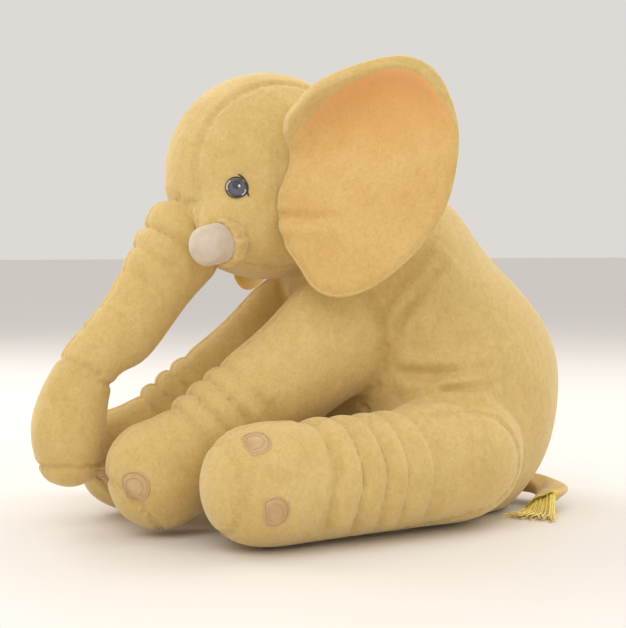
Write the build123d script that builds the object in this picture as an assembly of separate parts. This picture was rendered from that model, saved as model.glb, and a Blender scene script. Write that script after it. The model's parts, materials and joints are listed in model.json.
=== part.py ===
"""Sitting plush elephant: sewn pile-fabric panels over loose filling, jointed at its soft seams."""
from build123d import *
from math import cos, radians, sin
import os

# ---- driving dimensions, millimetres -------------------------------------------------
FABRIC = 3.0        # thickness of the pile fabric, backing included
GAP = 0.8           # clearance between parts that move on each other
BIG = 1000.0        # size of a block used to split a part at a plane
CAP_RINGS = (32, 58, 80)    # degrees round a limb's rounded end where its sections lie

HEAD_CENTRE = (0, -172, 328)
HEAD_HALF = (82, 100, 100)
GUSSET_HALF_WIDTH = 42      # the strip that runs over the head between the two cheeks
GUSSET_LOW_EDGE = 300       # height where the strip ends above the trunk

TRUNK_LINE = [(0, -252, 270), (0, -275, 238), (0, -297, 205), (0, -332, 166), (0, -356, 134)]
TRUNK_HALVES = [(35, 42), (34, 38), (33, 34), (31, 31), (30, 30)]
TIP_LINE = [(0, -360, 128), (0, -367, 100), (0, -366, 72)]
TIP_HALVES = [(33, 33), (36, 36), (34, 34)]
TIP_CAP = 34                # length of the rounded end beyond the last ring
TIP_END_HEIGHT = 60         # height below which the tip is a separate end panel

FORELEG_LINE = [
    (57, -120, 180), (57, -157, 151), (57, -200, 120), (57, -245, 88), (57, -280, 63), (57, -300, 54),
]
FORELEG_HALVES = [(38, 58), (40, 54), (41, 51), (41, 48), (42, 50), (43, 52)]
FORELEG_CAP = 46

HINDLEG_LINE = [
    (112, -20, 63.5), (126, -70, 59), (137, -120, 56.4),
    (145, -170, 55.2), (150, -205, 55.2), (152, -236, 55.2),
]
HINDLEG_HALVES = [(60, 61.5), (54, 57), (50, 54), (49, 53), (51, 54), (54, 54)]
HINDLEG_CAP = 52

TAIL_LINE = [(0, 86, 20), (36, 109, 17), (72, 106, 14), (102, 88, 12)]
TAIL_HALVES = [(15, 10), (15, 10), (16, 9.5), (18, 9)]
TAIL_CAP = 5
TUFT_STRANDS = 9
TUFT_LENGTH = 48
STRAND_RADIUS = 2.2
STRAND_START = 6            # distance of the strands' roots beyond the end of the tail's line
TUFT_FAN = 0.7              # sideways lean of the outermost strands
TUFT_DROP = 0.08            # downward lean of every strand

# Level rings of the torso: height, y of the centre, half width, half depth.
TORSO_RINGS = [
    (0, 5, 90, 76),
    (10, 4, 104, 82),
    (24, 4, 116, 92),
    (53, 8, 126, 107),
    (89, 9, 130, 118),
    (126, 9, 130, 122),
    (163, 2, 127, 124),
    (197, -16, 120, 124),
    (231, -37, 110, 113),
    (262, -54, 98, 101),
    (290, -61, 83, 89),
    (308, -62, 64, 72),
    (318, -66, 40, 46),
    (323, -68, 18, 20),
]
# The underside panel between the legs: its half width, its highest and lowest edges, and its rear edge.
BELLY_HALF_WIDTH = 62
BELLY_TOP = 128
BELLY_LOW = -100
BELLY_REAR = 60

# The ear is a flat pad on a vertical hinge line at the side of the head.
EAR_ROOT = (81, -188)
EAR_FLARE = 40              # degrees between the ear and the head's side
EAR_OUTLINE = [
    (16, 352), (26, 396), (52, 414), (86, 425), (118, 428), (142, 417), (157, 392), (164, 360), (162, 330),
    (153, 297), (135, 266), (112, 241), (86, 223), (60, 215), (36, 220), (20, 240), (16, 272), (16, 312),
]
EAR_THICKNESS = 13
BEAD_RADIUS = 8
BEAD_SPAN = (284, 370)
WEB_THICKNESS = 5

TUSK_BASE = (52, -213, 268)
TUSK_TIP = (77, -270, 261)
TUSK_RADIUS = 16.5
COLLAR_RADIUS = 4.5
COLLAR_PLACE = 19           # distance of the collar from the tusk's base

EYE_DIRECTION = (78, -62, -16)      # from the head's centre through the middle of the eye
EYE_HALF = (12.5, 11)
EYE_THICKNESS = 1.4

TOENAIL_THICKNESS = 1.6
TOENAIL_RADIUS = 13
FOREFOOT_TOENAILS = [(33, -30, -4), (-33, -30, -4)]             # directions from the foot's centre
HINDFOOT_TOENAILS = [(31, -15, 42), (52, -5, -15), (-30, -15, 43)]
FOREFOOT_SOLE = ((0, -0.72, -0.69), 34)     # outward direction, and distance from the foot's centre
HINDFOOT_SOLE = ((0.1, -0.99, 0), 36)

# Room for the limbs' movement. Positions are in degrees, and each has its own pocket cut in the neighbour.
FORELEG_LIFTS = (0, 6)
TIP_CURLS = (0, 15, 30, 45)
HINDLEG_GAP = 1.6
TAIL_POCKET_RADIUS = 18.7
TAIL_POCKET_HEIGHT = 23


# ---- shapes used by several parts ------------------------------------------------------
def ring(centre, direction, side, halves):
    """One elliptical section, square to the limb's centre line."""
    plane = Plane(origin=centre, x_dir=side, z_dir=direction)
    return plane * make_face(Ellipse(*halves).edge())


def rounded_end(point, direction, halves, length, grow):
    """Three shrinking rings that close a limb with a rounded cap."""
    rings = []
    for degrees in CAP_RINGS:
        centre = point + direction * ((length + grow) * sin(radians(degrees)))
        sizes = [(half + grow) * cos(radians(degrees)) for half in halves]
        rings.append((centre, direction, sizes))
    return rings


def limb(line, halves, side, caps, grow=0.0):
    """Closed limb: rings along a centre line, with a rounded cap where a cap length is given."""
    points = [Vector(*point) for point in line]
    last = len(points) - 1
    tangents = [(points[min(i + 1, last)] - points[max(i - 1, 0)]).normalized() for i in range(last + 1)]
    rings = []
    if caps[0]:
        start = rounded_end(points[0], -tangents[0], halves[0], caps[0], grow)
        rings += [(centre, -direction, sizes) for centre, direction, sizes in reversed(start)]
    rings += [(p, t, [half + grow for half in pair]) for p, t, pair in zip(points, tangents, halves)]
    if caps[1]:
        rings += rounded_end(points[last], tangents[last], halves[last], caps[1], grow)
    side = Vector(*side)
    faces = []
    for centre, tangent, sizes in rings:
        across = (side - tangent * side.dot(tangent)).normalized()
        faces.append(ring(centre, tangent, across, sizes))
    return loft(faces)


def ellipsoid(centre, halves, grow=0.0):
    """Ellipsoid with its axes along X, Y and Z."""
    return Pos(*centre) * scale(Sphere(1), by=tuple(half + grow for half in halves))


def beyond(point, direction):
    """Block that fills everything past a plane."""
    plane = Plane(origin=point, z_dir=direction)
    return plane * Pos(0, 0, BIG / 2) * Box(BIG, BIG, BIG)


def rod(start, direction, radius, length):
    """Round bar from a point, along a direction."""
    plane = Plane(origin=start, z_dir=direction)
    return plane * Pos(0, 0, length / 2) * Cylinder(radius, length)


def turned(shape, pivot, degrees):
    """The shape turned about the X line through a pivot."""
    return Pos(*pivot) * Rot(degrees, 0, 0) * Pos(*[-value for value in pivot]) * shape


def mirrored(shape):
    return mirror(shape, about=Plane.YZ)


def write(name, shape):
    export_step(shape, f"parts/{name}.step")


def write_pair(name, shape):
    """The left part and its mirror image on the right."""
    write(f"{name}_left", shape)
    write(f"{name}_right", mirrored(shape))


# ---- outer forms, each also made a little larger or smaller ------------------------------
def head_form(grow=0.0):
    return ellipsoid(HEAD_CENTRE, HEAD_HALF, grow)


def trunk_form(grow=0.0):
    return limb(TRUNK_LINE, TRUNK_HALVES, (1, 0, 0), (TRUNK_HALVES[0][1], 0), grow)


def tip_form(grow=0.0):
    return limb(TIP_LINE, TIP_HALVES, (1, 0, 0), (TIP_HALVES[0][1], TIP_CAP), grow)


def foreleg_form(grow=0.0):
    return limb(FORELEG_LINE, FORELEG_HALVES, (1, 0, 0), (FORELEG_HALVES[0][1], FORELEG_CAP), grow)


def hindleg_form(grow=0.0):
    return limb(HINDLEG_LINE, HINDLEG_HALVES, (1, 0, 0), (HINDLEG_HALVES[0][0], HINDLEG_CAP), grow)


def tail_form(grow=0.0):
    return limb(TAIL_LINE, TAIL_HALVES, (0, 1, 0), (TAIL_HALVES[0][0], TAIL_CAP), grow)


def torso_form(inset=0.0):
    """Level elliptical rings from the flat seat to the nape."""
    faces = []
    low, high = TORSO_RINGS[0][0], TORSO_RINGS[-1][0]
    for height, centre_y, half_x, half_y in TORSO_RINGS:
        level = min(max(height, low + inset), high - inset)
        faces.append(Pos(0, centre_y, level) * make_face(Ellipse(half_x - inset, half_y - inset).edge()))
    return loft(faces)


# ---- torso --------------------------------------------------------------------------------
def torso():
    """Two side panels, an underside panel and the filling, with a pocket for each limb and the head."""
    limbs = [turned(foreleg_form(GAP), FORELEG_LINE[0], -lift) for lift in FORELEG_LIFTS]
    limbs.append(hindleg_form(HINDLEG_GAP))
    pockets = [head_form(GAP)] + limbs + [mirrored(pocket) for pocket in limbs]
    pockets += [tail_form(GAP), Pos(*TAIL_LINE[0]) * Cylinder(TAIL_POCKET_RADIUS, TAIL_POCKET_HEIGHT)]
    outer = torso_form()
    core = torso_form(FABRIC)
    for pocket in pockets:
        outer -= pocket
        core -= pocket
    cover = outer - torso_form(FABRIC)
    belly_middle = Pos(0, BELLY_REAR - BIG / 2, (BELLY_TOP + BELLY_LOW) / 2)
    belly_block = belly_middle * Box(2 * BELLY_HALF_WIDTH, BIG, BELLY_TOP - BELLY_LOW)
    write("belly_panel", cover & belly_block)
    sides = cover - belly_block
    write("torso_panel_left", sides & beyond((0, 0, 0), (1, 0, 0)))
    write("torso_panel_right", sides & beyond((0, 0, 0), (-1, 0, 0)))
    write("torso_filling", core)


# ---- head -----------------------------------------------------------------------------------
def head():
    """Cheeks, forehead gusset, chin panel and filling, with grooves for the trunk and the ears."""
    bead_length = BEAD_SPAN[1] - BEAD_SPAN[0]
    groove = Pos(*EAR_ROOT, sum(BEAD_SPAN) / 2) * Cylinder(BEAD_RADIUS + GAP, bead_length + 2 * GAP)
    pockets = [trunk_form(GAP), groove, mirrored(groove)]
    cover = head_form() - head_form(-FABRIC)
    core = head_form(-FABRIC)
    for pocket in pockets:
        cover -= pocket
        core -= pocket
    write("head_filling", core)
    left_cut = beyond((GUSSET_HALF_WIDTH, 0, 0), (1, 0, 0))
    write_pair("cheek_panel", cover & left_cut)
    middle = cover - left_cut - mirrored(left_cut)
    forehead_block = beyond((0, 0, GUSSET_LOW_EDGE), (0, 0, 1))
    write("forehead_gusset", middle & forehead_block)
    write("chin_panel", middle - forehead_block)


def eye():
    """Raised embroidery that follows the cheek."""
    direction = Vector(*EYE_DIRECTION)
    plane = Plane(origin=HEAD_CENTRE, x_dir=(0.6, 0.8, 0), z_dir=direction)
    patch = plane * extrude(Ellipse(*EYE_HALF), amount=BIG / 4)
    write_pair("eye", (head_form(EYE_THICKNESS) - head_form()) & patch)


def tusk():
    """Short stuffed tusk, with a rolled collar of body fabric round its root."""
    base, tip = Vector(*TUSK_BASE), Vector(*TUSK_TIP)
    along = (tip - base).normalized()
    straight = (tip - base).length - TUSK_RADIUS
    end = base + along * straight

    def bar(radius):
        return rod(base, along, radius, straight) + Pos(end) * Sphere(radius)

    outside = bar(TUSK_RADIUS) - head_form()
    filling = bar(TUSK_RADIUS - FABRIC / 2) - head_form()
    write_pair("tusk_cover", outside - filling)
    write_pair("tusk_filling", filling)
    collar = Plane(origin=base + along * COLLAR_PLACE, z_dir=along) * Torus(TUSK_RADIUS, COLLAR_RADIUS)
    write_pair("tusk_collar", collar - head_form() - bar(TUSK_RADIUS))


# ---- trunk ------------------------------------------------------------------------------------
def trunk():
    cover = trunk_form() - trunk_form(-FABRIC)
    core = trunk_form(-FABRIC)
    for curl in TIP_CURLS:
        pocket = turned(tip_form(GAP), TIP_LINE[0], -curl)
        cover -= pocket
        core -= pocket
    write("trunk_panel_left", cover & beyond((0, 0, 0), (1, 0, 0)))
    write("trunk_panel_right", cover & beyond((0, 0, 0), (-1, 0, 0)))
    write("trunk_filling", core)


def trunk_tip():
    cover = tip_form() - tip_form(-FABRIC)
    end = beyond((0, 0, TIP_END_HEIGHT), (0, 0, -1))
    write("trunk_tip_panel", cover - end)
    write("trunk_tip_end", cover & end)
    write("trunk_tip_filling", tip_form(-FABRIC))


# ---- ears -------------------------------------------------------------------------------------
def ear():
    """Inner-face panel, back panel and a thin batting whose gathered root sits in the head's seam."""
    flare = radians(EAR_FLARE)
    outward = (sin(flare), cos(flare), 0)
    plane = Plane(origin=(*EAR_ROOT, 0), x_dir=outward, z_dir=(cos(flare), -sin(flare), 0))
    outline = make_face(Spline(*EAR_OUTLINE, periodic=True))

    def layer(low, high):
        return plane * Pos(0, 0, low) * extrude(outline, amount=high - low)

    half = EAR_THICKNESS / 2
    write_pair("ear_inner_panel", layer(half - FABRIC, half))
    write_pair("ear_back_panel", layer(-half, -half + FABRIC))
    height = BEAD_SPAN[1] - BEAD_SPAN[0]
    reach = EAR_OUTLINE[0][0] + EAR_THICKNESS
    web = plane * Pos(reach / 2, sum(BEAD_SPAN) / 2, 0) * Box(reach, height, WEB_THICKNESS)
    bead = Pos(*EAR_ROOT, sum(BEAD_SPAN) / 2) * Cylinder(BEAD_RADIUS, height)
    write_pair("ear_batting", layer(-half + FABRIC, half - FABRIC) + web + bead)


# ---- legs -------------------------------------------------------------------------------------
def leg(name, form, foot, sole, toenails):
    """Outer and inner side panels, sole, stitched toenails and filling of one leg."""
    cover = form() - form(-FABRIC)
    direction, distance = sole
    centre = Vector(*foot)
    end = beyond(centre + Vector(*direction) * distance, direction)
    sides = cover - end
    write_pair(f"{name}_sole", cover & end)
    write_pair(f"{name}_outer_panel", sides & beyond(centre, (1, 0, 0)))
    write_pair(f"{name}_inner_panel", sides & beyond(centre, (-1, 0, 0)))
    write_pair(f"{name}_filling", form(-FABRIC))
    skin = form(TOENAIL_THICKNESS) - form()
    patches = [skin & rod(foot, direction, TOENAIL_RADIUS, BIG / 4) for direction in toenails]
    write_pair(f"{name}_toenails", Compound(children=patches))


# ---- tail -------------------------------------------------------------------------------------
def tail():
    """Flat cover and filling, ending in a spread tuft of thick yarn."""
    write("tail_cover", tail_form() - tail_form(-FABRIC))
    write("tail_filling", tail_form(-FABRIC))
    end = Vector(*TAIL_LINE[-1])
    along = (end - Vector(*TAIL_LINE[-2])).normalized()
    across = Vector(0, 0, 1).cross(along)
    width = 2 * TAIL_HALVES[-1][0] - 4 * STRAND_RADIUS
    strands = []
    for index in range(TUFT_STRANDS):
        place = index / (TUFT_STRANDS - 1) - 0.5
        start = end + across * (width * place) + along * STRAND_START
        fan = (along + across * (TUFT_FAN * place) - Vector(0, 0, TUFT_DROP)).normalized()
        strands.append(rod(start, fan, STRAND_RADIUS, TUFT_LENGTH))
    tuft = strands[0]
    for strand in strands[1:]:
        tuft += strand
    write("tail_tuft", tuft - tail_form())


os.makedirs("parts", exist_ok=True)
torso()
head()
eye()
tusk()
trunk()
trunk_tip()
ear()
leg("foreleg", foreleg_form, FORELEG_LINE[-1], FOREFOOT_SOLE, FOREFOOT_TOENAILS)
leg("hindleg", hindleg_form, HINDLEG_LINE[-1], HINDFOOT_SOLE, HINDFOOT_TOENAILS)
tail()
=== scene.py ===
"""Looks of the sitting plush elephant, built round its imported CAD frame."""
import json
import math

import bpy
import numpy as np
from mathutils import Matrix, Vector
from mathutils.bvhtree import BVHTree
from mathutils.kdtree import KDTree


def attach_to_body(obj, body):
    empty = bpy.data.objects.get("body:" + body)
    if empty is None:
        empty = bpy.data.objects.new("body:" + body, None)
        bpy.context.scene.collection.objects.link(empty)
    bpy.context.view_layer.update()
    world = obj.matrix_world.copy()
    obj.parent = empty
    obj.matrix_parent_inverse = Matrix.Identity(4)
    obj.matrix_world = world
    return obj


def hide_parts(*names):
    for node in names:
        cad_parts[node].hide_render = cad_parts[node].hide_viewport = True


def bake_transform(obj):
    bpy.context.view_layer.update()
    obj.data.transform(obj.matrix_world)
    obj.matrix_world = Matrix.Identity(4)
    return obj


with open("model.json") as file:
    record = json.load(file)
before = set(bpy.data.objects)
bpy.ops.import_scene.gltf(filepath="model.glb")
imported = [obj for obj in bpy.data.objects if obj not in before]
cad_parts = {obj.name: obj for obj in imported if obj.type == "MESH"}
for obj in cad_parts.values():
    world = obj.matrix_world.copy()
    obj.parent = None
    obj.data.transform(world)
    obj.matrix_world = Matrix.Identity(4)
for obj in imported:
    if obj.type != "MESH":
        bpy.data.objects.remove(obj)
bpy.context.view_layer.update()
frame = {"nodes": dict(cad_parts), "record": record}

# ---- driving values, metres and degrees ----
VOXEL = 0.0045              # size of the first mesh laid over the CAD solids
SWELL_CAP = 0.006           # how far the filling may push the fabric out
MM = 0.001
SIDES = {"left": 1, "right": -1}
EAR_FLARE = 40              # degrees between the ear and the side of the head
TOENAIL_RADIUS = 0.0135
TUSK_RADIUS = 0.0185
FLOOR_CLEARANCE = 0.0002    # the seat is at height 0

SKINS = ["torso_panel_left", "torso_panel_right", "belly_panel", "forehead_gusset", "chin_panel",
         "cheek_panel_left", "cheek_panel_right", "trunk_panel_left", "trunk_panel_right",
         "trunk_tip_panel", "trunk_tip_end"]
for leg_name in ("foreleg", "hindleg"):
    for panel in ("outer_panel", "inner_panel", "sole"):
        SKINS += [f"{leg_name}_{panel}_{hand}" for hand in SIDES]
FILLINGS = ["torso_filling", "head_filling", "trunk_filling", "trunk_tip_filling"]
FILLINGS += [f"{leg_name}_filling_{hand}" for leg_name in ("foreleg", "hindleg") for hand in SIDES]

BODY_OF = {node: body for body, nodes in frame["record"]["behaviour"]["bodies"].items() for node in nodes}
JOINT_POINT = {joint["child"]: joint["pos_m"] for joint in frame["record"]["behaviour"]["joints"]}


# ---- arrays and meshes ----
def points_of(mesh):
    co = np.empty(len(mesh.vertices) * 3)
    mesh.vertices.foreach_get("co", co)
    return co.reshape(-1, 3)


def node_points(node):
    return points_of(frame["nodes"][node].data)


def middle_of(co):
    return (co.min(0) + co.max(0)) / 2


def set_points(mesh, co):
    mesh.vertices.foreach_set("co", np.ascontiguousarray(co, float).ravel())
    mesh.update()


def normals_of(mesh):
    found = np.empty(len(mesh.vertices) * 3, np.float32)
    mesh.vertex_normals.foreach_get("vector", found)
    return found.reshape(-1, 3).astype(float)


def edges_of(mesh):
    found = np.empty(len(mesh.edges) * 2, np.int64)
    mesh.edges.foreach_get("vertices", found)
    return found.reshape(-1, 2)


def relaxed(values, edges, rounds, weight=0.5):
    """Values moved towards the mean of their neighbours along the mesh's edges."""
    a, b = edges[:, 0], edges[:, 1]
    count = np.bincount(a, minlength=len(values)) + np.bincount(b, minlength=len(values))
    count = np.maximum(count, 1)[:, None]
    flat = values.reshape(len(values), -1).astype(float)
    for _ in range(rounds):
        total = np.zeros_like(flat)
        for column in range(flat.shape[1]):
            total[:, column] = np.bincount(a, flat[b, column], len(flat))
            total[:, column] += np.bincount(b, flat[a, column], len(flat))
        flat += weight * (total / count - flat)
    return flat.reshape(values.shape)


def linked(name, data):
    made = bpy.data.objects.new(name, data)
    bpy.context.scene.collection.objects.link(made)
    return made


def new_object(name, points, faces):
    mesh = bpy.data.meshes.new(name)
    mesh.from_pydata([tuple(p) for p in points], [], [tuple(f) for f in faces])
    mesh.update()
    return linked(name, mesh)


def with_modifier(obj, kind, **settings):
    """The object's mesh after one modifier, which is then gone."""
    modifier = obj.modifiers.new(kind.title(), kind)
    for key, value in settings.items():
        setattr(modifier, key, value)
    depsgraph = bpy.context.evaluated_depsgraph_get()
    mesh = bpy.data.meshes.new_from_object(obj.evaluated_get(depsgraph))
    obj.modifiers.clear()
    obj.data = mesh
    return obj


def wall(rings, segments, first=0, inward=False):
    """Faces that join each ring of points to the next."""
    faces = []
    for ring in range(rings - 1):
        for k in range(segments):
            low, after = first + ring * segments, (k + 1) % segments
            a, b, c, d = low + k, low + after, low + segments + after, low + segments + k
            faces.append((a, d, c, b) if inward else (a, b, c, d))
    return faces


def smooth_shaded(obj):
    obj.data.polygons.foreach_set("use_smooth", [True] * len(obj.data.polygons))
    return obj


def joined(nodes):
    """One object with the meshes of several CAD nodes."""
    points, faces, first = [], [], 0
    for node in nodes:
        mesh = frame["nodes"][node].data
        points.append(points_of(mesh))
        faces += [[first + v for v in polygon.vertices] for polygon in mesh.polygons]
        first += len(mesh.vertices)
    return new_object("core", np.concatenate(points), faces)


def largest_island(obj):
    """The object without the small closed surfaces that a remesh leaves inside."""
    mesh = obj.data
    edges = edges_of(mesh)
    label = np.arange(len(mesh.vertices))
    while True:
        low = np.minimum(label[edges[:, 0]], label[edges[:, 1]])
        before = label.copy()
        np.minimum.at(label, edges[:, 0], low)
        np.minimum.at(label, edges[:, 1], low)
        label = label[label]
        if (label == before).all():
            break
    keep = label == np.bincount(label).argmax()
    place = np.cumsum(keep) - 1
    faces = [[place[v] for v in p.vertices] for p in mesh.polygons if keep[p.vertices[0]]]
    found = new_object("island", points_of(mesh)[keep], faces)
    bpy.data.objects.remove(obj)
    return found


CLOTH = dict(quality=4, mass=0.3, tension_stiffness=12, compression_stiffness=12, shear_stiffness=4,
             bending_stiffness=0.3, use_pressure=True)


def swollen(obj, pressure, cap):
    """Cloth that its filling pushes out, from its sewn shape, by at most the cap."""
    before = points_of(obj.data)
    modifier = obj.modifiers.new("Cloth", "CLOTH")
    cloth = modifier.settings
    for key, value in CLOTH.items():
        setattr(cloth, key, value)
    cloth.uniform_pressure_force = pressure
    cloth.effector_weights.gravity = 0
    modifier.collision_settings.use_collision = False
    modifier.point_cache.frame_start = 1
    modifier.point_cache.frame_end = 20
    scene = bpy.context.scene
    for frame_number in range(1, 21):
        scene.frame_set(frame_number)
    depsgraph = bpy.context.evaluated_depsgraph_get()
    after = points_of(obj.evaluated_get(depsgraph).data)
    obj.modifiers.clear()
    scene.frame_set(1)
    move = after - before
    size = np.linalg.norm(move, axis=1, keepdims=True)
    move *= np.minimum(1, cap / np.maximum(size, 1e-9))
    set_points(obj.data, before + move)
    return obj


# ---- the whole skin, before it is cut into panels ----
PRESSURE = 3.0
APART = 2.2 * VOXEL         # closer surfaces of two limbs would grow together in the remesh
# Round these joints one form flows into the next: the radius of the softened patch, in metres.
MELTED = {"trunk_tip": 0.050, "hindleg_left": 0.095, "hindleg_right": 0.095}
MELT_ROUNDS = 45


def kept_apart(core, nodes):
    """Opens the thin gap between limbs that lie side by side with no joint between them."""
    co = points_of(core.data)
    sizes = [len(frame["nodes"][node].data.vertices) for node in nodes]
    body = np.repeat([BODY_OF[node] for node in nodes], sizes)
    move = np.zeros(len(co))
    for hand, way in SIDES.items():
        for inner, outer in (("trunk_tip", f"foreleg_{hand}"), (f"foreleg_{hand}", f"hindleg_{hand}")):
            for name, other, turn in ((inner, outer, -0.5), (outer, inner, 0.5)):
                facing = co[body == other]
                tree = tree_of(facing)
                inside = ((co > facing.min(axis=0) - APART) & (co < facing.max(axis=0) + APART)).all(axis=1)
                close = np.flatnonzero(inside & (body == name))
                away = np.array([tree.find(point)[2] for point in co[close]])
                move[close] += way * turn * np.maximum(APART - away, 0)
    co[:, 0] += move
    set_points(core.data, co)


def laid_over_solids():
    """One closed, smoothed and swollen skin over the torso, head, trunk and legs."""
    core = joined(SKINS + FILLINGS)
    kept_apart(core, SKINS + FILLINGS)
    with_modifier(core, "REMESH", mode="VOXEL", voxel_size=VOXEL)
    core = largest_island(core)
    edges = edges_of(core.data)
    set_points(core.data, relaxed(points_of(core.data), edges, 6))
    swollen(core, PRESSURE, SWELL_CAP)
    set_points(core.data, relaxed(points_of(core.data), edges, 2))
    co = points_of(core.data)
    flowing = relaxed(co, edges, MELT_ROUNDS)
    for body, radius in MELTED.items():
        away = np.linalg.norm(co - JOINT_POINT[body], axis=1)
        co += (np.exp(-(away / radius) ** 4))[:, None] * (flowing - co)
    set_points(core.data, co)
    with_modifier(core, "SUBSURF", levels=1, render_levels=1)
    return smooth_shaded(core)


def tree_of(co):
    tree = KDTree(len(co))
    for index, point in enumerate(co):
        tree.insert(point, index)
    tree.balance()
    return tree


def nearest_nodes(co, nodes):
    """For each point, the place in the list of the CAD node that lies nearest."""
    clouds = [node_points(node)[::2] for node in nodes]
    owner = np.repeat(np.arange(len(nodes)), [len(cloud) for cloud in clouds])
    tree = tree_of(np.concatenate(clouds))
    return owner[[tree.find(point)[1] for point in co]]


class Spine:
    """A limb's centre line, found by slicing its filling across a direction."""

    def __init__(self, node, direction, slices=12):
        co = node_points(node)
        along = co @ np.array(direction)
        low, high = along.min(), along.max()
        margin = 0.06 * (high - low)
        stops = np.linspace(low + margin, high - margin, slices)
        half = 0.6 * (stops[1] - stops[0])
        centres = []
        for stop in stops:
            part = co[np.abs(along - stop) < half]
            centres.append(middle_of(part))
        centres = np.array(centres)
        fine = np.linspace(0, slices - 1, 20 * slices)
        self.line = np.stack([np.interp(fine, range(slices), centres[:, k]) for k in range(3)], 1)
        steps = np.linalg.norm(np.diff(self.line, axis=0), axis=1)
        self.reach = np.concatenate([[0], np.cumsum(steps)])
        self.length = self.reach[-1]
        self.tangent = np.gradient(self.line, axis=0)
        self.tangent /= np.linalg.norm(self.tangent, axis=1, keepdims=True)

    def coordinates(self, co, side, up):
        """Share of the length, angle in degrees from side towards up, and outward direction."""
        place = np.array([np.argmin(((self.line - p) ** 2).sum(1)) for p in co])
        out = co - self.line[place]
        beyond = (out * self.tangent[place]).sum(1)
        share = (self.reach[place] + beyond * (np.abs(beyond) > 1e-4)) / self.length
        out -= beyond[:, None] * self.tangent[place]
        out /= np.maximum(np.linalg.norm(out, axis=1, keepdims=True), 1e-9)
        angle = np.degrees(np.arctan2(out @ np.array(up), out @ np.array(side)))
        return share, angle, out


def step(low, high, value):
    """Smooth rise from 0 to 1 between two values."""
    t = np.clip((value - low) / (high - low), 0, 1)
    return t * t * (3 - 2 * t)


def facing_window(angle, facing, spread, soft=35):
    """1 within spread degrees of the facing angle, fading to 0 over the soft range."""
    away = np.abs((angle - facing + 180) % 360 - 180)
    return 1 - step(spread, spread + soft, away)


def tucks(share, angle, cuts, facing, spread, run_out=0.05, wave=0.006):
    """Depth, in metres, of a row of tucks: sharp at each cut and rounded between the cuts."""
    shifted = share + wave * np.sin(np.radians(2 * angle)) + 0.5 * wave * np.sin(np.radians(5 * angle + 40))
    depth = np.zeros(len(share))
    for (here, deep), (there, other) in zip(cuts[:-1], cuts[1:]):
        u = (shifted - here) / (there - here)
        inside = (u >= 0) & (u < 1)
        arch = np.power(np.clip(4 * u * (1 - u), 0, 1), 0.42)
        depth += np.where(inside, (deep * (1 - u) + other * u) * (1 - (1 + PUFF) * arch), 0)
    for place, deep, sign in ((cuts[0][0], cuts[0][1], -1), (cuts[-1][0], cuts[-1][1], 1)):
        away = sign * (shifted - place) / run_out
        depth += np.where((away >= 0) & (away < 1), deep * (1 - np.power(np.clip(away, 0, 1), 0.42)), 0)
    return depth * facing_window(angle, facing, spread)


def path_distance(co, path):
    """Distance from each point to a line of points, and the share of the line where it is nearest."""
    path = np.array(path, float)
    best = np.full(len(co), 1e9)
    share = np.zeros(len(co))
    lengths = np.linalg.norm(np.diff(path, axis=0), axis=1)
    ends = np.concatenate([[0], np.cumsum(lengths)])
    for i, (a, b) in enumerate(zip(path[:-1], path[1:])):
        t = np.clip(((co - a) @ (b - a)) / ((b - a) @ (b - a)), 0, 1)
        away = np.linalg.norm(co - a - t[:, None] * (b - a), axis=1)
        closer = away < best
        best = np.where(closer, away, best)
        share = np.where(closer, (ends[i] + t * lengths[i]) / ends[-1], share)
    return best, share


def crease(co, path, depth, width, swell=0.35, ends=0.15):
    """Depth of one crease along a path: a sharp valley with a soft ridge on each side."""
    away, share = path_distance(co, path)
    fade = step(0, ends, share) * (1 - step(1 - ends, 1, share))
    valley = 0.5 * np.exp(-away / (0.6 * width)) + 0.5 * np.exp(-(away / width) ** 2)
    ridge = np.exp(-((away - 2.6 * width) / (1.6 * width)) ** 2)
    return depth * fade * (valley - swell * ridge)


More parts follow.
